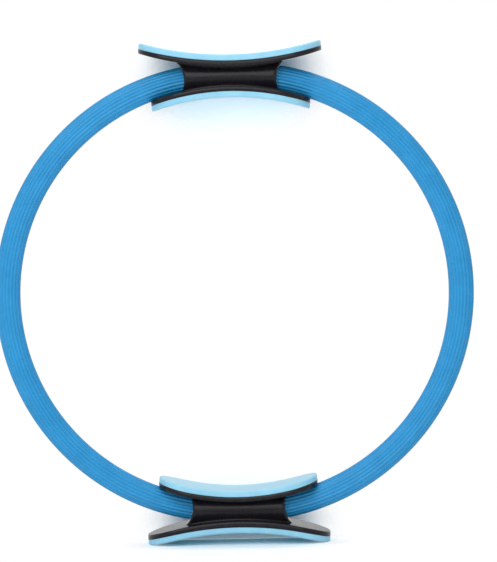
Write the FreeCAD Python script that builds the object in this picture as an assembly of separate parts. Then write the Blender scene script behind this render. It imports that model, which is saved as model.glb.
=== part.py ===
import FreeCAD, Part
import math
import os

# A pilates ring: two ribbed half rings, each on a springy flat core, clamped between two padded
# double-sided grips. Frame: +X to the right, +Y away from the viewer, +Z up through both grips,
# origin on the floor under the middle of the lower grip. Lengths in millimetres.
# Each grip is drawn once in its own frame, where Z runs outwards from the ring's centreline.

# Half rings
RING_RADIUS = 172.5          # centreline radius of each half
HALF_SPREAD = 7.5            # each half's arc centre stands this far from the middle
TUBE_DIAMETER = 20.0         # over the ribs
RIB_COUNT = 20               # ribs along the sleeve: ridges with a flat between each two
CORE_WIDTH = 12.0            # flat core, wide across the ring
CORE_THICKNESS = 3.0
CORE_END_X = 9.0             # the core stops this far from the middle of the grip
SLEEVE_END_GAP = 0.2         # between the sleeve's end and the grip's notch
SLEEVE_END_SHIFT = 0.2       # the cut sits this far inside the notch's axis, so its outer side gapes

# Grip shells
GRIP_DEPTH = 55.0            # front to back
END_FLAT_DEPTH = 7.0         # straight middle of the rounded ends of flanges and pads, from above
OUTER_LENGTH = 145.0
OUTER_SEAT = 11.6            # centreline to the outer pad's seat, at the middle
OUTER_SADDLE_RADIUS = 255.0  # the outer seat dips towards the ring
OUTER_FLANGE = 4.5           # thickness at the middle
OUTER_BACK_RADIUS = 232.0    # the flange's back bends more than its seat, so the ends are thinner
INNER_LENGTH = 126.0
INNER_SEAT = 12.3            # centreline to the inner pad's seat, at the middle
INNER_SADDLE_RADIUS = 190.0  # the inner seat arches along the ring
WEB_HALF_LENGTH = 36.2       # middle of the grip to the bottom of the end notch
NOTCH_RADIUS = 20.0          # round notch that faces the sleeve's end
NOTCH_DROP = 3.3             # the notch's axis lies this far inside the grip's centreline
WEB_DEPTH = 32.0             # front to back over the bulged waist
WEB_FOOT_DEPTH = 16.6        # front to back where the notches' lips meet the flanges
LIP_SHARE = 0.7              # the lips meet the flanges this share of the notch's radius off its axis
WEB_LIP_BEVEL = 1.2          # bevelled lip of the notches
PARTING_GAP = 0.12           # seam between the two shells
KEY_DEPTH = 8.0              # locating key between the cores' ends, front to back
KEY_HEIGHT = 1.2             # the key rises this far from the inner shell into the outer one
SLEEVE_SINK = 0.55           # the sleeves lie this deep in grooves of the inner flange's back

# Foam pads
PAD_THICKNESS = 4.8
PAD_BEVEL = 1.0              # bevelled rim of the pad's face
PAD_INSET = 0.3              # the pad's outline lies this far inside the flange's
PAD_GLUE_GAP = 0.1           # glue line under the pads
FOOT_CUT = 0.5               # flat on the lower pad's tips, where the ring stands

# Fasteners
SCREW_Y = 9.3                # one in front of the middle and one behind it
SCREW_DIAMETER = 3.0
SCREW_LENGTH = 16.0          # under the head
SCREW_HEAD_DIAMETER = 5.6
SCREW_HEAD_HEIGHT = 1.9
SCREW_HEAD_SINK = 0.5        # head below the pad's seat
PIN_X = 18.0
PIN_DIAMETER = 3.2
PIN_LENGTH = 14.0

# Fits
CORE_CLEARANCE = 0.2         # core in its slot, all round
SLEEVE_CLEARANCE = 0.25      # between the sleeves and their grooves
HOLE_CLEARANCE = 0.2         # screw shank, screw head and core hole, on radius
FASTENER_FIT = 0.05          # pins in the shells and screws in the far shell, on radius
OVERRUN = 5.0                # cutters reach this far past what they cut
TOLERANCE = 0.001            # for finding edges by their place

V = FreeCAD.Vector
AXIS_Y = V(0, 1, 0)
AXIS_Z = V(0, 0, 1)
ORIGIN = V(0, 0, 0)
SIDES = {"left": -1, "right": 1}

OUTER_CENTRE_Z = OUTER_SEAT + OUTER_SADDLE_RADIUS
INNER_CENTRE_Z = -INNER_SEAT - INNER_SADDLE_RADIUS
OUTER_BACK_CENTRE_Z = OUTER_SEAT - OUTER_FLANGE + OUTER_BACK_RADIUS
NOTCH_X = WEB_HALF_LENGTH + NOTCH_RADIUS
END_CORNER_RADIUS = (GRIP_DEPTH - END_FLAT_DEPTH) / 2


# Shared geometry
def y_cylinder(radius, x, z, depth):
    return Part.makeCylinder(radius, depth, V(x, -depth / 2, z), AXIS_Y)


def z_cylinder(radius, x, y, low, high):
    return Part.makeCylinder(radius, high - low, V(x, y, low), AXIS_Z)


def edge_points(edge):
    first, last = edge.FirstParameter, edge.LastParameter
    return [edge.valueAt(at) for at in (first, (first + last) / 2, last)]


def lies_on(edge, x, z, radius):
    """True where the edge lies on the cylinder along Y about (x, z), or on its mirror image."""
    return all(abs(math.hypot(abs(p.x) - x, p.z - z) - radius) < TOLERANCE
               for p in edge_points(edge))


def saddle_plate(face, back, length, depth, corner, side):
    """Plate between two bends about axes along Y, lying above (+1) or below (-1) them.

    Each bend is given as its axis height and its radius."""
    back_z, back_radius = back
    face_z, face_radius = face
    bent = y_cylinder(back_radius, 0, back_z, depth)
    bent = bent.cut(y_cylinder(face_radius, 0, face_z, depth + OVERRUN))
    plan = Part.makeBox(length, depth, 2 * back_radius, V(-length / 2, -depth / 2, -back_radius))
    upright = [edge for edge in plan.Edges if edge.BoundBox.ZLength > back_radius]
    plan = plan.makeFillet(corner, upright)
    plan.translate(V(0, 0, back_z + side * back_radius))
    return bent.common(plan).Solids[0]


def bevel_rim(plate, bend, bevel):
    """Bevels the outline of the plate's side that has this bend."""
    bend_z, bend_radius = bend
    rim = [edge for edge in plate.Edges if lies_on(edge, 0, bend_z, bend_radius)]
    return plate.makeChamfer(bevel, rim)


def arc_point(centre_z, radius, angle, side):
    """Point of a half ring at an angle from its top."""
    turn = math.radians(angle)
    return V(side * (HALF_SPREAD + radius * math.sin(turn)), 0, centre_z + radius * math.cos(turn))


def arc_band(centre_z, inner_radius, outer_radius, start, end, depth, side):
    """Flat strip of one half ring between two angles, as deep as given along Y."""
    angles = (start, (start + end) / 2, end)
    outside = [arc_point(centre_z, outer_radius, angle, side) for angle in angles]
    inside = [arc_point(centre_z, inner_radius, angle, side) for angle in reversed(angles)]
    outline = Part.Wire([
        Part.Arc(*outside).toShape(),
        Part.makeLine(outside[2], inside[0]),
        Part.Arc(*inside).toShape(),
        Part.makeLine(inside[2], outside[0]),
    ])
    band = Part.Face(outline).extrude(V(0, depth, 0))
    band.translate(V(0, -depth / 2, 0))
    return band


def angle_at_x(x):
    """Angle from the top at which a half ring's centreline stands at this distance from the middle."""
    return math.degrees(math.asin((x - HALF_SPREAD) / RING_RADIUS))


def centreline_z(x):
    """Height of the ring's centreline in the grip's frame."""
    return math.sqrt(RING_RADIUS ** 2 - (x - HALF_SPREAD) ** 2) - RING_RADIUS


def sleeve_underside_z(x):
    """Height of the sleeve's inner side in the grip's frame."""
    radius = RING_RADIUS - TUBE_DIAMETER / 2
    return math.sqrt(radius ** 2 - (x - HALF_SPREAD) ** 2) - RING_RADIUS


def inner_back():
    """Bend of the inner flange's back, into which the sleeves sink at its ends and at the waist."""
    end_x = INNER_LENGTH / 2
    end_z = sleeve_underside_z(end_x) + SLEEVE_SINK
    waist_z = sleeve_underside_z(WEB_HALF_LENGTH) + SLEEVE_SINK
    squares = end_x ** 2 + end_z ** 2 - WEB_HALF_LENGTH ** 2 - waist_z ** 2
    bend_z = squares / (2 * (end_z - waist_z))
    return bend_z, math.hypot(end_x, end_z - bend_z)


OUTER_FACE = (OUTER_CENTRE_Z, OUTER_SADDLE_RADIUS)
OUTER_BACK = (OUTER_BACK_CENTRE_Z, OUTER_BACK_RADIUS)
INNER_FACE = (INNER_CENTRE_Z, INNER_SADDLE_RADIUS)
INNER_BACK = inner_back()
OUTER_BACK_Z = OUTER_SEAT - OUTER_FLANGE
INNER_BACK_Z = sum(INNER_BACK)


# Grip waist: an hourglass between the flanges, bulged front and back, with a round notch at each end
def grip_web():
    outer_middle = OUTER_SADDLE_RADIUS + OUTER_FLANGE / 2
    inner_middle = INNER_SADDLE_RADIUS + (INNER_BACK_Z + INNER_SEAT) / 2
    top = OUTER_CENTRE_Z - outer_middle
    top_end = OUTER_CENTRE_Z - math.sqrt(outer_middle ** 2 - NOTCH_X ** 2)
    foot = INNER_CENTRE_Z + inner_middle
    foot_end = INNER_CENTRE_Z + math.sqrt(inner_middle ** 2 - NOTCH_X ** 2)
    front_outline = Part.Wire([
        Part.Arc(V(-NOTCH_X, 0, top_end), V(0, 0, top), V(NOTCH_X, 0, top_end)).toShape(),
        Part.makeLine(V(NOTCH_X, 0, top_end), V(NOTCH_X, 0, foot_end)),
        Part.Arc(V(NOTCH_X, 0, foot_end), V(0, 0, foot), V(-NOTCH_X, 0, foot_end)).toShape(),
        Part.makeLine(V(-NOTCH_X, 0, foot_end), V(-NOTCH_X, 0, top_end)),
    ])
    blank = Part.Face(front_outline).extrude(V(0, WEB_DEPTH, 0))
    blank.translate(V(0, -WEB_DEPTH / 2, 0))

    middle = (OUTER_BACK_Z + INNER_BACK_Z) / 2
    lip_x = NOTCH_X - NOTCH_RADIUS * LIP_SHARE
    lip_high = OUTER_BACK[0] - math.sqrt(OUTER_BACK[1] ** 2 - lip_x ** 2)
    lip_low = INNER_BACK[0] + math.sqrt(INNER_BACK[1] ** 2 - lip_x ** 2)
    reach = max(lip_high - middle, middle - lip_low)
    front_high, front_low, back_high, back_low = [
        V(-NOTCH_X, y * WEB_FOOT_DEPTH / 2, middle + z * reach) for y in (-1, 1) for z in (1, -1)]
    side_outline = Part.Wire([
        Part.Arc(front_high, V(-NOTCH_X, -WEB_DEPTH / 2, middle), front_low).toShape(),
        Part.makeLine(front_low, back_low),
        Part.Arc(back_low, V(-NOTCH_X, WEB_DEPTH / 2, middle), back_high).toShape(),
        Part.makeLine(back_high, front_high),
    ])
    web = blank.common(Part.Face(side_outline).extrude(V(2 * NOTCH_X, 0, 0)))
    for side in SIDES.values():
        web = web.cut(y_cylinder(NOTCH_RADIUS, side * NOTCH_X, -NOTCH_DROP, WEB_DEPTH + OVERRUN))
    return web.removeSplitter().Solids[0]


# Moulded grip: both flanges and the waist in one, before it is parted along the centreline
def grip_body():
    outer = saddle_plate(OUTER_FACE, OUTER_BACK, OUTER_LENGTH, GRIP_DEPTH, END_CORNER_RADIUS, -1)
    inner = saddle_plate(INNER_FACE, INNER_BACK, INNER_LENGTH, GRIP_DEPTH, END_CORNER_RADIUS, 1)
    body = grip_web().fuse([outer, inner]).removeSplitter().Solids[0]

    def meets_flange(edge):
        return lies_on(edge, 0, *OUTER_BACK) or lies_on(edge, 0, *INNER_BACK)

    lips = [edge for edge in body.Edges
            if lies_on(edge, NOTCH_X, -NOTCH_DROP, NOTCH_RADIUS) and not meets_flange(edge)]
    return body.makeChamfer(WEB_LIP_BEVEL, lips)


def seam():
    """Thin sheet along the ring's centreline, which parts the two shells."""
    depth = WEB_DEPTH + OVERRUN
    corner = V(-HALF_SPREAD, -depth / 2, -PARTING_GAP / 2)
    sheet = Part.makeBox(2 * HALF_SPREAD, depth, PARTING_GAP, corner)
    wings = [arc_band(-RING_RADIUS, RING_RADIUS - PARTING_GAP / 2, RING_RADIUS + PARTING_GAP / 2,
                      0, angle_at_x(NOTCH_X), depth, side) for side in SIDES.values()]
    return sheet.fuse(wings)


def core_slot(side):
    return arc_band(-RING_RADIUS, RING_RADIUS - CORE_THICKNESS / 2 - CORE_CLEARANCE,
                    RING_RADIUS + CORE_THICKNESS / 2 + CORE_CLEARANCE,
                    angle_at_x(CORE_END_X - CORE_CLEARANCE), angle_at_x(NOTCH_X),
                    CORE_WIDTH + 2 * CORE_CLEARANCE, side)


def notch_block(side, radius, drop):
    """What lies between the middle of the grip and a round end cut about the notch's axis."""
    height = 2 * NOTCH_RADIUS
    depth = TUBE_DIAMETER + OVERRUN
    corner = V(min(0, side * NOTCH_X), -depth / 2, -NOTCH_DROP - height / 2)
    block = Part.makeBox(NOTCH_X, depth, height, corner)
    return block.cut(y_cylinder(radius, side * NOTCH_X, -drop, depth + OVERRUN))


def sleeve_groove(side):
    """Groove for a sleeve along the inner flange's back, from the notch to the flange's end."""
    tube = TUBE_DIAMETER / 2
    shoulder = tube - SLEEVE_SINK - SLEEVE_CLEARANCE
    width = 2 * (math.sqrt(tube ** 2 - shoulder ** 2) + SLEEVE_CLEARANCE)
    groove = arc_band(-RING_RADIUS, RING_RADIUS - tube - SLEEVE_CLEARANCE, RING_RADIUS,
                      angle_at_x(WEB_HALF_LENGTH), angle_at_x(INNER_LENGTH / 2 + OVERRUN), width, side)
    return groove.cut(notch_block(side, NOTCH_RADIUS, NOTCH_DROP))


def locating_key(gap):
    """Block between the cores' ends that rises from the inner shell, with the gap round it."""
    length = 2 * (CORE_END_X + gap)
    depth = KEY_DEPTH + 2 * gap
    return Part.makeBox(length, depth, 2 * KEY_HEIGHT + gap, V(-length / 2, -depth / 2, -KEY_HEIGHT))


SCREW_HEAD_Z = SCREW_HEAD_SINK - INNER_SEAT
SCREW_SEAT_Z = SCREW_HEAD_Z + SCREW_HEAD_HEIGHT
SCREW_TIP_Z = SCREW_SEAT_Z + SCREW_LENGTH


def grip_shells():
    """The outer and the inner shell of one grip, drilled and slotted for what they clamp."""
    halves = grip_body().cut(seam()).Solids
    inner, outer = sorted(halves, key=lambda solid: solid.CenterOfMass.z)
    inner = inner.fuse(locating_key(0))
    pin_low = centreline_z(PIN_X) - PIN_LENGTH / 2 - FASTENER_FIT
    pin_high = centreline_z(PIN_X) + PIN_LENGTH / 2 + FASTENER_FIT
    shared = [core_slot(side) for side in SIDES.values()]
    shared += [z_cylinder(PIN_DIAMETER / 2 + FASTENER_FIT, side * PIN_X, 0, pin_low, pin_high)
               for side in SIDES.values()]
    outer_cuts = [locating_key(PARTING_GAP)]
    inner_cuts = [sleeve_groove(side) for side in SIDES.values()]
    for y in (-SCREW_Y, SCREW_Y):
        outer_cuts.append(z_cylinder(SCREW_DIAMETER / 2 + FASTENER_FIT, 0, y, SCREW_SEAT_Z,
                                     SCREW_TIP_Z + HOLE_CLEARANCE))
        inner_cuts.append(z_cylinder(SCREW_DIAMETER / 2 + HOLE_CLEARANCE, 0, y, SCREW_HEAD_Z,
                                     SCREW_TIP_Z))
        inner_cuts.append(z_cylinder(SCREW_HEAD_DIAMETER / 2 + HOLE_CLEARANCE, 0, y,
                                     SCREW_HEAD_Z - OVERRUN, SCREW_SEAT_Z))
    outer = outer.cut(shared + outer_cuts).Solids[0]
    inner = inner.cut(shared + inner_cuts).Solids[0]
    return outer, inner


# Foam pads: sheets glued to the flanges, with a bevelled rim
def outer_pad():
    seat = (OUTER_CENTRE_Z, OUTER_SADDLE_RADIUS - PAD_GLUE_GAP)
    face = (OUTER_CENTRE_Z, OUTER_SADDLE_RADIUS - PAD_THICKNESS)
    pad = saddle_plate(face, seat, OUTER_LENGTH - 2 * PAD_INSET, GRIP_DEPTH - 2 * PAD_INSET,
                       END_CORNER_RADIUS - PAD_INSET, -1)
    return bevel_rim(pad, face, PAD_BEVEL)


def inner_pad():
    seat = (INNER_CENTRE_Z, INNER_SADDLE_RADIUS - PAD_GLUE_GAP)
    face = (INNER_CENTRE_Z, INNER_SADDLE_RADIUS - PAD_THICKNESS)
    pad = saddle_plate(face, seat, INNER_LENGTH - 2 * PAD_INSET, GRIP_DEPTH - 2 * PAD_INSET,
                       END_CORNER_RADIUS - PAD_INSET, 1)
    return bevel_rim(pad, face, PAD_BEVEL)


# Fasteners of one grip
def shell_screw(y):
    head = z_cylinder(SCREW_HEAD_DIAMETER / 2, 0, y, SCREW_HEAD_Z, SCREW_SEAT_Z)
    shank = z_cylinder(SCREW_DIAMETER / 2, 0, y, SCREW_SEAT_Z, SCREW_TIP_Z)
    return head.fuse(shank)


def core_pin(side):
    low = centreline_z(PIN_X) - PIN_LENGTH / 2
    return z_cylinder(PIN_DIAMETER / 2, side * PIN_X, 0, low, low + PIN_LENGTH)


# Half rings, in the part's own frame
def core_strip(centre_z, side):
    start = angle_at_x(CORE_END_X)
    strip = arc_band(centre_z, RING_RADIUS - CORE_THICKNESS / 2, RING_RADIUS + CORE_THICKNESS / 2,
                     start, 180 - start, CORE_WIDTH, side)
    reach = RING_RADIUS + CORE_THICKNESS
    hole = z_cylinder(PIN_DIAMETER / 2 + HOLE_CLEARANCE, side * PIN_X, 0,
                      centre_z - reach, centre_z + reach)
    return strip.cut(hole).Solids[0]


def sleeve_section(centre_z):
    """Ribbed section at the top of a half ring, with a flat slot for the core."""
    middle_z = centre_z + RING_RADIUS
    radius = TUBE_DIAMETER / 2
    turns = [2 * math.pi * rib / RIB_COUNT for rib in range(RIB_COUNT)]
    ribs = [V(0, radius * math.sin(turn), middle_z + radius * math.cos(turn)) for turn in turns]
    width = CORE_WIDTH / 2 + CORE_CLEARANCE
    height = CORE_THICKNESS / 2 + CORE_CLEARANCE
    slot = [V(0, y * width, middle_z + z * height) for y, z in ((-1, -1), (1, -1), (1, 1), (-1, 1))]
    outlines = [Part.makePolygon(points + points[:1]) for points in (ribs, slot)]
    return Part.makeFace(outlines, "Part::FaceMakerBullseye")


def sleeve(centre_z, side):
    start = angle_at_x(WEB_HALF_LENGTH)
    section = sleeve_section(centre_z)
    section.translate(V(side * HALF_SPREAD, 0, 0))
    centre = V(side * HALF_SPREAD, 0, centre_z)
    section.rotate(centre, AXIS_Y, side * start)
    tube = section.revolve(centre, AXIS_Y, side * (180 - 2 * start))
    for upper in (True, False):
        trim = notch_block(side if upper else -side, NOTCH_RADIUS - SLEEVE_END_GAP,
                           NOTCH_DROP + SLEEVE_END_SHIFT)
        tube = tube.cut(placed(trim, centre_z, upper))
    return tube.Solids[0]


# Assembly: one grip each way up, on the top and at the foot of the ring
def placed(shape, centre_z, upper):
    copy = shape.copy()
    if upper:
        copy.translate(V(0, 0, centre_z + RING_RADIUS))
    else:
        copy.rotate(ORIGIN, AXIS_Y, 180)
        copy.translate(V(0, 0, centre_z - RING_RADIUS))
    return copy


def main():
    outer_shell, inner_shell = grip_shells()
    pad = outer_pad()
    rest_z = pad.optimalBoundingBox().ZMax - FOOT_CUT
    centre_z = RING_RADIUS + rest_z
    above_rest = Part.makeBox(OUTER_LENGTH, GRIP_DEPTH, OUTER_CENTRE_Z,
                              V(-OUTER_LENGTH / 2, -GRIP_DEPTH / 2, rest_z))
    grip = {
        "outer_shell": outer_shell,
        "inner_shell": inner_shell,
        "outer_pad": pad,
        "inner_pad": inner_pad(),
        "shell_screws": Part.makeCompound([shell_screw(y) for y in (-SCREW_Y, SCREW_Y)]),
        "core_pins": Part.makeCompound([core_pin(side) for side in SIDES.values()]),
    }
    nodes = {}
    for name, shape in grip.items():
        nodes["upper_" + name] = placed(shape, centre_z, True)
        nodes["lower_" + name] = placed(shape, centre_z, False)
    nodes["lower_outer_pad"] = placed(pad.cut(above_rest).Solids[0], centre_z, False)
    for name, side in SIDES.items():
        nodes[name + "_sleeve"] = sleeve(centre_z, side)
        nodes[name + "_core_strip"] = core_strip(centre_z, side)

    os.makedirs("parts", exist_ok=True)
    for name, shape in nodes.items():
        shape.exportStep("parts/" + name + ".step")
        print(name, shape.isValid(), len(shape.Solids), round(shape.Volume, 1), shape.BoundBox)
    print("ring centre height", round(centre_z, 3))


main()
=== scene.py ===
import math

import bmesh
import bpy
from mathutils import Matrix, Vector


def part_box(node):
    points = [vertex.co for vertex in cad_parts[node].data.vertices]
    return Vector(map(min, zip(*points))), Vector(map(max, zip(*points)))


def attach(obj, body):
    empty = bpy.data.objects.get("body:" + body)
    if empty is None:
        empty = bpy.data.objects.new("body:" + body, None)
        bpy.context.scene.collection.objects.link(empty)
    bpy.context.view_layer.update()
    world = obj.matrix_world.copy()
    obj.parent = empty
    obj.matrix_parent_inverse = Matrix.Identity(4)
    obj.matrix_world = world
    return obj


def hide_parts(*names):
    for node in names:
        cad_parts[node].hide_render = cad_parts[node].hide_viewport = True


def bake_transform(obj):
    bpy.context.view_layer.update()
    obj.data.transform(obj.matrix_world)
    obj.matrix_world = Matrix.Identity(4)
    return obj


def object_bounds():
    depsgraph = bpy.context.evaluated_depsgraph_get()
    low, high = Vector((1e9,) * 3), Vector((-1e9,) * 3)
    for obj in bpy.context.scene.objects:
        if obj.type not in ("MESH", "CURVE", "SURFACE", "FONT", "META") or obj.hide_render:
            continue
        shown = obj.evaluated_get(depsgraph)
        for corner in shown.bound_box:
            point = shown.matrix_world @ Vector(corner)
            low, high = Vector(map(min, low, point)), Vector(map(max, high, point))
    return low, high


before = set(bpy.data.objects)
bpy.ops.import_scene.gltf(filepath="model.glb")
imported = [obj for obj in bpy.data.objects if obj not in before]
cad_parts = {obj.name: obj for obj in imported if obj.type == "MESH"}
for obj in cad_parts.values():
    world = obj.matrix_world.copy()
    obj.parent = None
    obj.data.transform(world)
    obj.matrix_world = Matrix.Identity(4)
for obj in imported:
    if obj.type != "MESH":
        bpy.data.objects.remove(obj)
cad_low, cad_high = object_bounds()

# Core strips: two springy flat strips of pultruded glass fibre in dark resin, bent to half circles.
# Each runs through a sleeve, and its ends are pinned between the shells of both grips.
# They show only as a dark bar in the gap between a sleeve and a grip.
STRIP_THICKNESS = 0.003
STRIP_STEPS = 96             # straight runs along a half ring
STRIP_SHARP = math.radians(40)   # edges that turn more than this stay sharp
FIBRE_SPACING = 0.0050       # bundles of fibre, drawn far coarser than real ones so that they show
WAVE_RATE = 20               # radians that a wave texture turns in one unit
STRIP_DARK = "#141414"
STRIP_PALE = "#2a2a2b"

strip_low, strip_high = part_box("right_core_strip")
ring_z = (strip_low.z + strip_high.z) / 2
ring_radius = (strip_high.z - strip_low.z - STRIP_THICKNESS) / 2
half_spread = strip_high.x - ring_radius - STRIP_THICKNESS / 2
strip_width = strip_high.y - strip_low.y
strip_start = math.asin((strip_low.x - half_spread) / ring_radius)


def linear(hex_colour):
    """An sRGB hex colour as the linear colour that a shader takes."""
    channels = [int(hex_colour[at:at + 2], 16) / 255 for at in (1, 3, 5)]
    return [c / 12.92 if c <= 0.04045 else ((c + 0.055) / 1.055) ** 2.4 for c in channels] + [1.0]


def add_node(tree, kind, settings, links):
    """Adds a node, gives it its settings, and links inputs to (node, output) pairs."""
    node = tree.nodes.new(kind)
    for name, value in settings.items():
        if isinstance(name, int) or name in node.inputs:
            node.inputs[name].default_value = value
        else:
            setattr(node, name, value)
    for name, (source, output) in links.items():
        tree.links.new(source.outputs[output], node.inputs[name])
    return node


def new_material(name):
    """An empty node material, and its tree."""
    material = bpy.data.materials.new(name)
    material.use_nodes = True
    material.node_tree.nodes.clear()
    return material, material.node_tree


def mesh_piece(bm, name, material, sharp_angle):
    """Makes the bmesh an object of the scene, smooth except where its faces turn sharply."""
    bmesh.ops.recalc_face_normals(bm, faces=bm.faces[:])
    mesh = bpy.data.meshes.new(name)
    bm.to_mesh(mesh)
    bm.free()
    mesh.shade_smooth()
    mesh.set_sharp_from_angle(angle=sharp_angle)
    mesh.materials.append(material)
    piece = bpy.data.objects.new(name, mesh)
    bpy.context.scene.collection.objects.link(piece)
    return piece


def spin_half_ring(bm, side, start, steps):
    """Sweeps a section that stands at the top of the ring down one side, from one angle to its mirror."""
    centre = Vector((side * half_spread, 0, ring_z))
    turn = Matrix.Rotation(side * start, 3, "Y")
    bmesh.ops.rotate(bm, verts=bm.verts[:], cent=centre, matrix=turn)
    bmesh.ops.spin(bm, geom=bm.verts[:] + bm.edges[:], cent=centre, axis=(0, 1, 0),
                   angle=side * (math.pi - 2 * start), steps=steps, use_merge=False)


def bend_with_grips(piece):
    """Bakes a half ring's piece into its place in the mesh."""
    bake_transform(piece)


# Pultruded glass fibre: dark resin with faint paler lines along the strip.
glass_fibre, tree = new_material("pultruded_glass_fibre")
coords = add_node(tree, "ShaderNodeTexCoord", {}, {})
fibres = add_node(tree, "ShaderNodeTexWave",
                  {"bands_direction": "Y", "Scale": 2 * math.pi / (WAVE_RATE * FIBRE_SPACING),
                   "Distortion": 1.5, "Detail": 2.0},
                  {"Vector": (coords, "Object")})
tint = add_node(tree, "ShaderNodeValToRGB", {}, {"Fac": (fibres, "Fac")})
tint.color_ramp.elements[0].color = linear(STRIP_DARK)
tint.color_ramp.elements[1].color = linear(STRIP_PALE)
relief = add_node(tree, "ShaderNodeBump", {"Strength": 0.2, "Distance": 0.00005}, {"Height": (fibres, "Fac")})
shader = add_node(tree, "ShaderNodeBsdfPrincipled", {"Roughness": 0.45, "IOR": 1.52},
                  {"Base Color": (tint, "Color"), "Normal": (relief, "Normal")})
add_node(tree, "ShaderNodeOutputMaterial", {}, {"Surface": (shader, "BSDF")})

for side_name, side in (("left", -1), ("right", 1)):
    bm = bmesh.new()
    corners = [bm.verts.new((side * half_spread, y * strip_width / 2,
                             ring_z + ring_radius + z * STRIP_THICKNESS / 2))
               for y, z in ((-1, -1), (1, -1), (1, 1), (-1, 1))]
    for at in range(len(corners)):
        bm.edges.new((corners[at - 1], corners[at]))
    spin_half_ring(bm, side, strip_start, STRIP_STEPS)
    bmesh.ops.holes_fill(bm, edges=[edge for edge in bm.edges if edge.is_boundary], sides=len(corners))
    strip = mesh_piece(bm, side_name + "_core", glass_fibre, STRIP_SHARP)
    bend_with_grips(strip)
    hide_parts(side_name + "_core_strip")

# Sleeves: ribbed tubes of soft rubber, extruded in lengths and pushed over the strips.
# Each end is cut to a curve that stands in the grip's round notch, a small gap away from it.
TUBE_DIAMETER = 0.020        # over the ribs
RIB_COUNT = 20
RIB_DEPTH = 0.00065
RIB_POINTS = 8               # points across a rib
SLEEVE_STEPS = 120           # straight runs along a half ring
SLOT_CLEARANCE = 0.0002      # round the strip
SLOT_ROUNDING = 0.3          # power that rounds the slot's corners
END_CUT_X = 0.0562           # axis of the round cut at each end, from the middle of the grip
END_CUT_DROP = 0.0035        # and from the ring's centreline
END_CUT_RADIUS = 0.0198
SLEEVE_SHARP = math.radians(60)
RUBBER_DEEP = "#2693ce"
RUBBER_LIGHT = "#2d9bd7"
RUBBER_ROUGHNESS = (0.32, 0.42)
BLOOM_SIZE = 0.012           # cloudy patches of the surface
BLOOM_SPAN = (0.35, 0.65)    # noise between which the rubber turns from deep to light
GRIT_SIZE = 0.0004           # fine matt grain left by the die


def sleeve_end_angle(radius):
    """Angle from the top at which a circle about the half ring's centre meets the sleeve's cut end."""
    across = END_CUT_X - half_spread
    up = ring_radius - END_CUT_DROP
    reach = math.hypot(across, up)
    share = (radius ** 2 + reach ** 2 - END_CUT_RADIUS ** 2) / (2 * radius * reach)
    return math.atan2(across, up) - math.acos(share)


def signed_power(value, power):
    """A power of the value's size, with the value's sign."""
    return math.copysign(abs(value) ** power, value)


# Ribbed rubber: satin, with a light bloom in patches and a fine grain.
ribbed_rubber, tree = new_material("extruded_rubber")
coords = add_node(tree, "ShaderNodeTexCoord", {}, {})
bloom = add_node(tree, "ShaderNodeTexNoise", {"Scale": 1 / BLOOM_SIZE, "Detail": 3.0, "Roughness": 0.6},
                 {"Vector": (coords, "Object")})
grit = add_node(tree, "ShaderNodeTexNoise", {"Scale": 1 / GRIT_SIZE, "Detail": 1.0},
                {"Vector": (coords, "Object")})
tint = add_node(tree, "ShaderNodeValToRGB", {}, {"Fac": (bloom, "Fac")})
tint.color_ramp.elements[0].position = BLOOM_SPAN[0]
tint.color_ramp.elements[0].color = linear(RUBBER_DEEP)
tint.color_ramp.elements[1].position = BLOOM_SPAN[1]
tint.color_ramp.elements[1].color = linear(RUBBER_LIGHT)
gloss = add_node(tree, "ShaderNodeMapRange", {"To Min": RUBBER_ROUGHNESS[0], "To Max": RUBBER_ROUGHNESS[1]},
                 {"Value": (bloom, "Fac")})
relief = add_node(tree, "ShaderNodeBump", {"Strength": 0.1, "Distance": 0.0001}, {"Height": (grit, "Fac")})
shader = add_node(tree, "ShaderNodeBsdfPrincipled", {"IOR": 1.36},
                  {"Base Color": (tint, "Color"), "Roughness": (gloss, "Result"),
                   "Normal": (relief, "Normal")})
add_node(tree, "ShaderNodeOutputMaterial", {}, {"Surface": (shader, "BSDF")})

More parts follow.
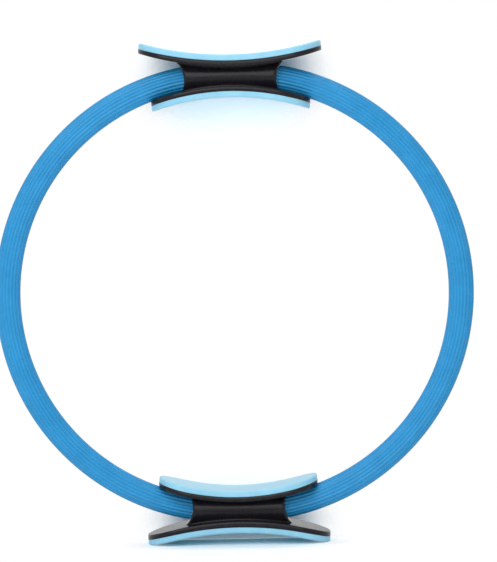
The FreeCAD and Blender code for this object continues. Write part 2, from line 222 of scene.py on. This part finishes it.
for side_name, side in (("left", -1), ("right", 1)):
    bm = bmesh.new()
    centre = Vector((side * half_spread, 0, ring_z + ring_radius))
    upright = Matrix.Translation(centre) @ Matrix.Rotation(math.pi / 2, 4, "Y")
    outline = bmesh.ops.create_circle(bm, segments=RIB_COUNT * RIB_POINTS, radius=TUBE_DIAMETER / 2,
                                      matrix=upright)["verts"]
    for vert in outline:
        turn = math.atan2(vert.co.y, vert.co.z - centre.z)
        radius = TUBE_DIAMETER / 2 - RIB_DEPTH * (1 - abs(math.cos(RIB_COUNT * turn / 2)))
        vert.co.y = radius * math.sin(turn)
        vert.co.z = centre.z + radius * math.cos(turn)
    slot_half_width = strip_width / 2 + SLOT_CLEARANCE
    slot_half_height = STRIP_THICKNESS / 2 + SLOT_CLEARANCE
    slot = bmesh.ops.create_circle(bm, segments=RIB_COUNT * RIB_POINTS, radius=TUBE_DIAMETER / 2,
                                   matrix=upright)["verts"]
    for vert in slot:
        turn = math.atan2(vert.co.y, vert.co.z - centre.z)
        vert.co.y = slot_half_width * signed_power(math.sin(turn), SLOT_ROUNDING)
        vert.co.z = centre.z + slot_half_height * signed_power(math.cos(turn), SLOT_ROUNDING)
    spin_half_ring(bm, side, 0, SLEEVE_STEPS)
    ends = [edge for edge in bm.edges if edge.is_boundary]
    for upper in (True, False):
        bmesh.ops.bridge_loops(bm, edges=[edge for edge in ends if (edge.verts[0].co.z > ring_z) == upper])
    for vert in bm.verts:
        across = side * vert.co.x - half_spread
        up = vert.co.z - ring_z
        radius = math.hypot(across, up)
        end = sleeve_end_angle(radius)
        turn = end + math.atan2(across, up) / math.pi * (math.pi - 2 * end)
        vert.co.x = side * (half_spread + radius * math.sin(turn))
        vert.co.z = ring_z + radius * math.cos(turn)
    sleeve = mesh_piece(bm, side_name + "_ribbed_sleeve", ribbed_rubber, SLEEVE_SHARP)
    bend_with_grips(sleeve)
    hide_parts(side_name + "_sleeve")

# Core pins and shell screws: zinc-plated steel pins and pan-head screws inside the grips.
# The pins pass through the strips' ends, and the screws draw the two shells together.
ZINC_DARK = "#8f9296"
ZINC_PALE = "#b9bcc0"
SPANGLE_SIZE = 0.0012        # cloudy grain of the plating

# Zinc plating: pale grey metal with a fine cloudy spangle.
zinc_steel, tree = new_material("zinc_plated_steel")
coords = add_node(tree, "ShaderNodeTexCoord", {}, {})
spangle = add_node(tree, "ShaderNodeTexNoise", {"Scale": 1 / SPANGLE_SIZE, "Detail": 2.0},
                   {"Vector": (coords, "Object")})
tint = add_node(tree, "ShaderNodeValToRGB", {}, {"Fac": (spangle, "Fac")})
tint.color_ramp.elements[0].color = linear(ZINC_DARK)
tint.color_ramp.elements[1].color = linear(ZINC_PALE)
shader = add_node(tree, "ShaderNodeBsdfPrincipled", {"Metallic": 1.0, "Roughness": 0.35},
                  {"Base Color": (tint, "Color")})
add_node(tree, "ShaderNodeOutputMaterial", {}, {"Surface": (shader, "BSDF")})

for grip_name in ("lower", "upper"):
    for kind in ("core_pins", "shell_screws"):
        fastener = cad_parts[grip_name + "_" + kind]
        fastener.data.materials.clear()
        fastener.data.materials.append(zinc_steel)

# Grip shells: black ABS mouldings, an outer and an inner one clamped together on each grip.
# The mould was polished, so they are fairly glossy, with faint scuffs from handling. Edges and
# corners are well rounded, all but the crisp seam between the shells, which follows the strips.
ABS_BLACK = "#1b191f"
ABS_SCUFFED = "#222026"
ABS_ROUGHNESS = (0.2, 0.34)
SCUFF_SIZE = 0.006
SCUFF_SPAN = (0.45, 0.75)    # noise between which the black turns to scuffed
GRAIN_SIZE = 0.0008
EDGE_SOFTNESS = 0.0030       # rounding of the moulded edges and corners
EDGE_SAMPLES = 16
CRISP_SPAN = (0.0010, 0.0030)    # metres from the seam at which the rounding starts and is full

# Moulded ABS: near black and glossy, with duller scuffed patches and a very fine grain.
black_abs, tree = new_material("moulded_black_abs")
coords = add_node(tree, "ShaderNodeTexCoord", {}, {})
scuffs = add_node(tree, "ShaderNodeTexNoise", {"Scale": 1 / SCUFF_SIZE, "Detail": 4.0, "Roughness": 0.65},
                  {"Vector": (coords, "Object")})
grain = add_node(tree, "ShaderNodeTexNoise", {"Scale": 1 / GRAIN_SIZE, "Detail": 1.0},
                 {"Vector": (coords, "Object")})
tint = add_node(tree, "ShaderNodeValToRGB", {}, {"Fac": (scuffs, "Fac")})
tint.color_ramp.elements[0].position = SCUFF_SPAN[0]
tint.color_ramp.elements[0].color = linear(ABS_BLACK)
tint.color_ramp.elements[1].position = SCUFF_SPAN[1]
tint.color_ramp.elements[1].color = linear(ABS_SCUFFED)
gloss = add_node(tree, "ShaderNodeMapRange", {"To Min": ABS_ROUGHNESS[0], "To Max": ABS_ROUGHNESS[1]},
                 {"Value": (scuffs, "Fac")})
edges = add_node(tree, "ShaderNodeBevel", {"samples": EDGE_SAMPLES, "Radius": EDGE_SOFTNESS}, {})
# The seam is straight between the half rings' centres and a circle beyond them, the same in each quarter.
place = (coords, "Object")
for operation, value in (("SUBTRACT", (0, 0, ring_z)), ("ABSOLUTE", (0, 0, 0)),
                         ("SUBTRACT", (half_spread, 0, 0)), ("MAXIMUM", (0, 0, 0)),
                         ("MULTIPLY", (1, 0, 1))):
    step = add_node(tree, "ShaderNodeVectorMath", {"operation": operation, 1: value}, {0: place})
    place = (step, "Vector")
reach = add_node(tree, "ShaderNodeVectorMath", {"operation": "LENGTH"}, {0: place})
off_seam = add_node(tree, "ShaderNodeMath", {"operation": "SUBTRACT", 1: ring_radius}, {0: (reach, "Value")})
seam_distance = add_node(tree, "ShaderNodeMath", {"operation": "ABSOLUTE"}, {0: (off_seam, "Value")})
soft = add_node(tree, "ShaderNodeMapRange", {"From Min": CRISP_SPAN[0], "From Max": CRISP_SPAN[1]},
                {"Value": (seam_distance, "Value")})
facing = add_node(tree, "ShaderNodeNewGeometry", {}, {})
rounded = add_node(tree, "ShaderNodeMix", {"data_type": "VECTOR"},
                   {0: (soft, "Result"), 4: (facing, "Normal"), 5: (edges, "Normal")})
relief = add_node(tree, "ShaderNodeBump", {"Strength": 0.02, "Distance": 0.0001},
                  {"Height": (grain, "Fac"), "Normal": (rounded, 1)})
shader = add_node(tree, "ShaderNodeBsdfPrincipled", {"IOR": 1.28},
                  {"Base Color": (tint, "Color"), "Roughness": (gloss, "Result"),
                   "Normal": (relief, "Normal")})
add_node(tree, "ShaderNodeOutputMaterial", {}, {"Surface": (shader, "BSDF")})

for grip_name in ("lower", "upper"):
    for kind in ("outer_shell", "inner_shell"):
        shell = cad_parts[grip_name + "_" + kind]
        shell.data.materials.clear()
        shell.data.materials.append(black_abs)

# Pads: sheets of closed-cell EVA foam, cut with rounded ends and glued into the curved flanges.
# The faces are matt and finely pitted, and the rims are pressed round. The lowest carries the ring.
PAD_THICKNESS = 0.0048
PAD_RIM_RADIUS = 0.0020
PAD_RIM_SEGMENTS = 4
PAD_CORNER_RADIUS = 0.0237
PAD_CORNER_SEGMENTS = 14
PAD_CUTS = (44, 14)          # divisions along and across
PAD_CROWN = 0.0003           # the face swells this much towards the middle
GLUE_GAP = 0.0001
OUTER_SADDLE_RADIUS = 0.255
INNER_SADDLE_RADIUS = 0.190
PAD_SHARP = math.radians(50)
FOAM_DEEP = "#8fd2ef"
FOAM_LIGHT = "#9bdaf5"
FOAM_PAINTED_HIGHLIGHT = "#b6e7fc"        # painted highlight: a paler colour on the face, for the light and glare that it catches
HIGHLIGHT_COVER = 0.8             # how far the painted highlight covers the foam's colour on the face
HIGHLIGHT_FALL = 6                # power at which the painted highlight fades down the rim
FOAM_NAP = "#d2f2ff"         # velvety sheen where the foam is seen along its face
FOAM_CLOUD_SIZE = 0.010
FOAM_CLOUD_SPAN = (0.35, 0.65)   # noise between which the foam turns from deep to light
FOAM_CELL_SIZE = 0.0007      # cut cells, drawn coarser than real ones so that they show

# EVA foam: matt and a little velvety, with finely pitted faces and a painted highlight on each pad's face.
eva_foam, tree = new_material("eva_foam")
coords = add_node(tree, "ShaderNodeTexCoord", {}, {})
clouds = add_node(tree, "ShaderNodeTexNoise", {"Scale": 1 / FOAM_CLOUD_SIZE, "Detail": 3.0},
                  {"Vector": (coords, "Object")})
cells = add_node(tree, "ShaderNodeTexVoronoi", {"Scale": 1 / FOAM_CELL_SIZE},
                 {"Vector": (coords, "Object")})
tint = add_node(tree, "ShaderNodeValToRGB", {}, {"Fac": (clouds, "Fac")})
tint.color_ramp.elements[0].position = FOAM_CLOUD_SPAN[0]
tint.color_ramp.elements[0].color = linear(FOAM_DEEP)
tint.color_ramp.elements[1].position = FOAM_CLOUD_SPAN[1]
tint.color_ramp.elements[1].color = linear(FOAM_LIGHT)
# The paler face is a painted highlight, marked on each pad's mesh.
painted_face_light = add_node(tree, "ShaderNodeAttribute", {"attribute_name": "painted_face_light"}, {})
highlighted = add_node(tree, "ShaderNodeMix", {"data_type": "RGBA", 7: linear(FOAM_PAINTED_HIGHLIGHT)},
                   {0: (painted_face_light, "Fac"), 6: (tint, "Color")})
relief = add_node(tree, "ShaderNodeBump", {"Strength": 0.15, "Distance": 0.0001},
                  {"Height": (cells, "Distance")})
shader = add_node(tree, "ShaderNodeBsdfPrincipled",
                  {"Roughness": 0.5, "IOR": 1.4, "Sheen Weight": 0.8, "Sheen Roughness": 0.4,
                   "Sheen Tint": linear(FOAM_NAP)},
                  {"Base Color": (highlighted, 2), "Normal": (relief, "Normal")})
add_node(tree, "ShaderNodeOutputMaterial", {}, {"Surface": (shader, "BSDF")})


def foam_sheet(length, depth):
    """A flat sheet with rounded ends and a rounded upper rim, cut up finely enough to be bent."""
    bm = bmesh.new()
    corners = [bm.verts.new((x * length / 2, y * depth / 2, 0))
               for x, y in ((-1, -1), (1, -1), (1, 1), (-1, 1))]
    bm.faces.new(corners)
    bmesh.ops.bevel(bm, geom=corners, offset=PAD_CORNER_RADIUS, offset_type="OFFSET", affect="VERTICES",
                    segments=PAD_CORNER_SEGMENTS, profile=0.5, material=-1)
    grown = bmesh.ops.extrude_face_region(bm, geom=bm.faces[:])["geom"]
    raised = [part for part in grown if isinstance(part, bmesh.types.BMVert)]
    bmesh.ops.translate(bm, verts=raised, vec=(0, 0, PAD_THICKNESS - GLUE_GAP))
    rim = [edge for edge in bm.edges if all(vert in raised for vert in edge.verts)]
    bmesh.ops.bevel(bm, geom=rim, offset=PAD_RIM_RADIUS, offset_type="OFFSET", affect="EDGES",
                    segments=PAD_RIM_SEGMENTS, profile=0.5, material=-1)
    for axis, size, cuts in ((Vector((1, 0, 0)), length, PAD_CUTS[0]),
                             (Vector((0, 1, 0)), depth, PAD_CUTS[1])):
        for cut in range(1, cuts):
            bmesh.ops.bisect_plane(bm, geom=bm.verts[:] + bm.edges[:] + bm.faces[:],
                                   plane_co=axis * size * (cut / cuts - 0.5), plane_no=axis)
    return bm


for grip_name, out in (("lower", -1), ("upper", 1)):
    for kind, saddle_radius in (("outer", OUTER_SADDLE_RADIUS), ("inner", INNER_SADDLE_RADIUS)):
        node = grip_name + "_" + kind + "_pad"
        low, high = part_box(node)
        length = high.x - low.x
        depth = high.y - low.y
        away = out if kind == "outer" else -out
        middle_seat = low.z if away > 0 else high.z
        bm = foam_sheet(length, depth)
        # Painted highlight: the face away from the flange is marked for a paler colour, which fades down the
        # rim.
        highlight_layer = bm.verts.layers.float.new("painted_face_light")
        for vert in bm.verts:
            height = vert.co.z
            share = height / (PAD_THICKNESS - GLUE_GAP)
            vert[highlight_layer] = HIGHLIGHT_COVER * share ** HIGHLIGHT_FALL
            crown = (1 - (2 * vert.co.x / length) ** 2) * (1 - (2 * vert.co.y / depth) ** 2)
            radius = saddle_radius - GLUE_GAP - height
            dip = saddle_radius - GLUE_GAP - math.sqrt(radius ** 2 - vert.co.x ** 2)
            vert.co.z = middle_seat + away * (dip + share * crown * PAD_CROWN)
            if node == "lower_outer_pad":
                vert.co.z = max(vert.co.z, cad_low.z)
        pad = mesh_piece(bm, grip_name + "_" + kind + "_foam", eva_foam, PAD_SHARP)
        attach(pad, grip_name + "_grip")
        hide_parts(node)

# Floor and backdrop: a white sheet that the ring stands on, and a white board just behind the grips.
# Both take the ring's soft shadow, and melt into the white surround a little way out, so that no
# horizon shows. The board can't be seen from behind or in mirrors.
SHEET_SIZE = 8.0
BOARD_SIZE = 3.0
BOARD_Y = 0.0278
SHEET_SHARP = math.radians(30)
SHEET_WHITE = 0.92           # share of the light that the paper gives back
SHEET_LIFT = 1.2             # and the share that the eye sees, so that only real shadow shows
SHEET_PAINTED_GLOW = "#1c4658"      # painted glow: faint blue light that the paper gives the eye and mirrors, painted bounce light in its deepest shadows
FLOOR_FADE = (0.05, 0.10)    # metres from under the ring at which the sheet starts and ends to melt away
BOARD_FADE = (0.030, 0.065)  # the same for the board, up and down from behind the foot and the upper grip
BOARD_FADE_WIDTH = 1.4       # and this many times as far to the sides


def ray_kinds(tree):
    """Nodes that are 1 for rays by way of a mirror or glass, and for all rays that the eye sees."""
    path = add_node(tree, "ShaderNodeLightPath", {}, {})
    mirrored = add_node(tree, "ShaderNodeMath", {"operation": "MAXIMUM"},
                        {0: (path, "Is Glossy Ray"), 1: (path, "Is Transmission Ray")})
    seen = add_node(tree, "ShaderNodeMath", {"operation": "MAXIMUM"},
                    {0: (path, "Is Camera Ray"), 1: (mirrored, "Value")})
    return mirrored, seen


def white_sheet(name):
    """White paper that the eye and mirrors see brighter than it is lit, with a faint painted glow that tints
    its shadows blue, not yet shown.
    """
    material, tree = new_material(name)
    mirrored, seen = ray_kinds(tree)
    level = add_node(tree, "ShaderNodeMapRange", {"To Min": SHEET_WHITE, "To Max": SHEET_LIFT},
                     {"Value": (seen, "Value")})
    lit = add_node(tree, "ShaderNodeBsdfDiffuse", {}, {"Color": (level, "Result")})
    # Painted glow: the paper gives faint blue light to the eye and mirrors, which tints its shadows like
    # bounce light.
    painted_glow = add_node(tree, "ShaderNodeEmission", {"Color": linear(SHEET_PAINTED_GLOW)},
                     {"Strength": (seen, "Value")})
    paper = add_node(tree, "ShaderNodeAddShader", {}, {0: (lit, "BSDF"), 1: (painted_glow, "Emission")})
    return material, tree, paper, mirrored, seen


def show_sheet(tree, paper, hidden):
    """Shows the paper except where the (node, output) pair hides it."""
    clear = add_node(tree, "ShaderNodeBsdfTransparent", {}, {})
    shown = add_node(tree, "ShaderNodeMixShader", {},
                     {"Fac": hidden, 1: (paper, "Shader"), 2: (clear, "BSDF")})
    add_node(tree, "ShaderNodeOutputMaterial", {}, {"Surface": (shown, "Shader")})


floor_paper, tree, paper, _, seen = white_sheet("white_floor_paper")
coords = add_node(tree, "ShaderNodeTexCoord", {}, {})
distance = add_node(tree, "ShaderNodeVectorMath", {"operation": "LENGTH"}, {0: (coords, "Object")})
melted = add_node(tree, "ShaderNodeMapRange",
                  {"interpolation_type": "SMOOTHSTEP", "From Min": FLOOR_FADE[0], "From Max": FLOOR_FADE[1]},
                  {"Value": (distance, "Value")})
hidden = add_node(tree, "ShaderNodeMath", {"operation": "MULTIPLY"},
                  {0: (melted, "Result"), 1: (seen, "Value")})
show_sheet(tree, paper, (hidden, "Value"))

board_paper, tree, paper, mirrored, _ = white_sheet("white_board_paper")
coords = add_node(tree, "ShaderNodeTexCoord", {}, {})
drawn_in = add_node(tree, "ShaderNodeVectorMath",
                    {"operation": "MULTIPLY", 1: (1 / BOARD_FADE_WIDTH, 1, 1)}, {0: (coords, "Object")})
below, above = [add_node(tree, "ShaderNodeVectorMath", {"operation": "DISTANCE", 1: (0, BOARD_Y, height)},
                         {0: (drawn_in, "Vector")}) for height in (cad_low.z, ring_z + ring_radius)]
distance = add_node(tree, "ShaderNodeMath", {"operation": "MINIMUM"},
                    {0: (below, "Value"), 1: (above, "Value")})
melted = add_node(tree, "ShaderNodeMapRange",
                  {"interpolation_type": "SMOOTHSTEP", "From Min": BOARD_FADE[0], "From Max": BOARD_FADE[1]},
                  {"Value": (distance, "Value")})
faces = add_node(tree, "ShaderNodeNewGeometry", {}, {})
turned_off = add_node(tree, "ShaderNodeMath", {"operation": "MAXIMUM"},
                      {0: (faces, "Backfacing"), 1: (mirrored, "Value")})
hidden = add_node(tree, "ShaderNodeMath", {"operation": "MAXIMUM"},
                  {0: (turned_off, "Value"), 1: (melted, "Result")})
show_sheet(tree, paper, (hidden, "Value"))

bm = bmesh.new()
bmesh.ops.create_grid(bm, x_segments=1, y_segments=1, size=SHEET_SIZE / 2,
                      matrix=Matrix.Translation((0, 0, cad_low.z)))
floor = mesh_piece(bm, "floor", floor_paper, SHEET_SHARP)

bm = bmesh.new()
bmesh.ops.create_grid(bm, x_segments=1, y_segments=1, size=BOARD_SIZE / 2,
                      matrix=Matrix.Translation((0, BOARD_Y, cad_low.z + BOARD_SIZE / 2))
                      @ Matrix.Rotation(math.pi / 2, 4, "X"))
board = mesh_piece(bm, "backdrop", board_paper, SHEET_SHARP)
board.visible_shadow = False

# Light: a pale surround that the eye sees as white, and two large soft lamps, one in front of the
# ring and a weaker one high above it, a little behind.
SURROUND_COLOUR = "#ffffff"
SURROUND_LEVEL = 0.45        # as it lights the ring
WHITE_LEVEL = 1.0            # as the eye sees it
LAMP_SIZE = 1.6
KEY_POWER = 26.0
KEY_PLACE = Vector((-0.5, -2.0, 1.2))
TOP_POWER = 16.0
TOP_PLACE = Vector((0.3, 0.6, 2.3))

world = bpy.data.worlds.new("studio")
bpy.context.scene.world = world
world.use_nodes = True
tree = world.node_tree
tree.nodes.clear()
_, seen = ray_kinds(tree)
surround, white = [add_node(tree, "ShaderNodeBackground",
                            {"Color": linear(SURROUND_COLOUR), "Strength": level}, {})
                   for level in (SURROUND_LEVEL, WHITE_LEVEL)]
shown = add_node(tree, "ShaderNodeMixShader", {},
                 {"Fac": (seen, "Value"), 1: (surround, "Background"), 2: (white, "Background")})
add_node(tree, "ShaderNodeOutputWorld", {}, {"Surface": (shown, "Shader")})

for name, power, place in (("key", KEY_POWER, KEY_PLACE), ("top", TOP_POWER, TOP_PLACE)):
    lamp_data = bpy.data.lights.new(name, "AREA")
    lamp_data.size = LAMP_SIZE
    lamp_data.energy = power
    lamp = bpy.data.objects.new(name, lamp_data)
    bpy.context.scene.collection.objects.link(lamp)
    lamp.location = place
    lamp.rotation_euler = (Vector((0, 0, ring_z)) - place).to_track_quat("-Z", "Y").to_euler()

# Camera: a long lens a little above the middle of the ring, held slightly out of level.
# Its place, aim and lens were fitted to the outlines of the ring and the grips.
CAMERA_PLACE = Vector((0.0233, -3.26, 0.3606))
CAMERA_AIM = Vector((0.01125, 0, 0.20795))
CAMERA_ROLL = -0.02          # radians
SENSOR_HEIGHT = 36.0         # millimetres
PHOTO_HEIGHT = 562           # pixels
PIXELS_PER_RADIAN = 4110.9
FARTHEST_VIEW = 50.0         # metres

camera_data = bpy.data.cameras.new("camera")
camera_data.sensor_fit = "VERTICAL"
camera_data.sensor_height = SENSOR_HEIGHT
camera_data.lens = SENSOR_HEIGHT * PIXELS_PER_RADIAN / PHOTO_HEIGHT
camera_data.clip_end = FARTHEST_VIEW
camera = bpy.data.objects.new("camera", camera_data)
bpy.context.scene.collection.objects.link(camera)
aim = (CAMERA_AIM - CAMERA_PLACE).to_track_quat("-Z", "Y").to_matrix()
turned = aim @ Matrix.Rotation(CAMERA_ROLL, 3, "Z")
camera.matrix_world = Matrix.Translation(CAMERA_PLACE) @ turned.to_4x4()
bpy.context.scene.camera = camera
bpy.context.scene.view_settings.view_transform = "Standard"
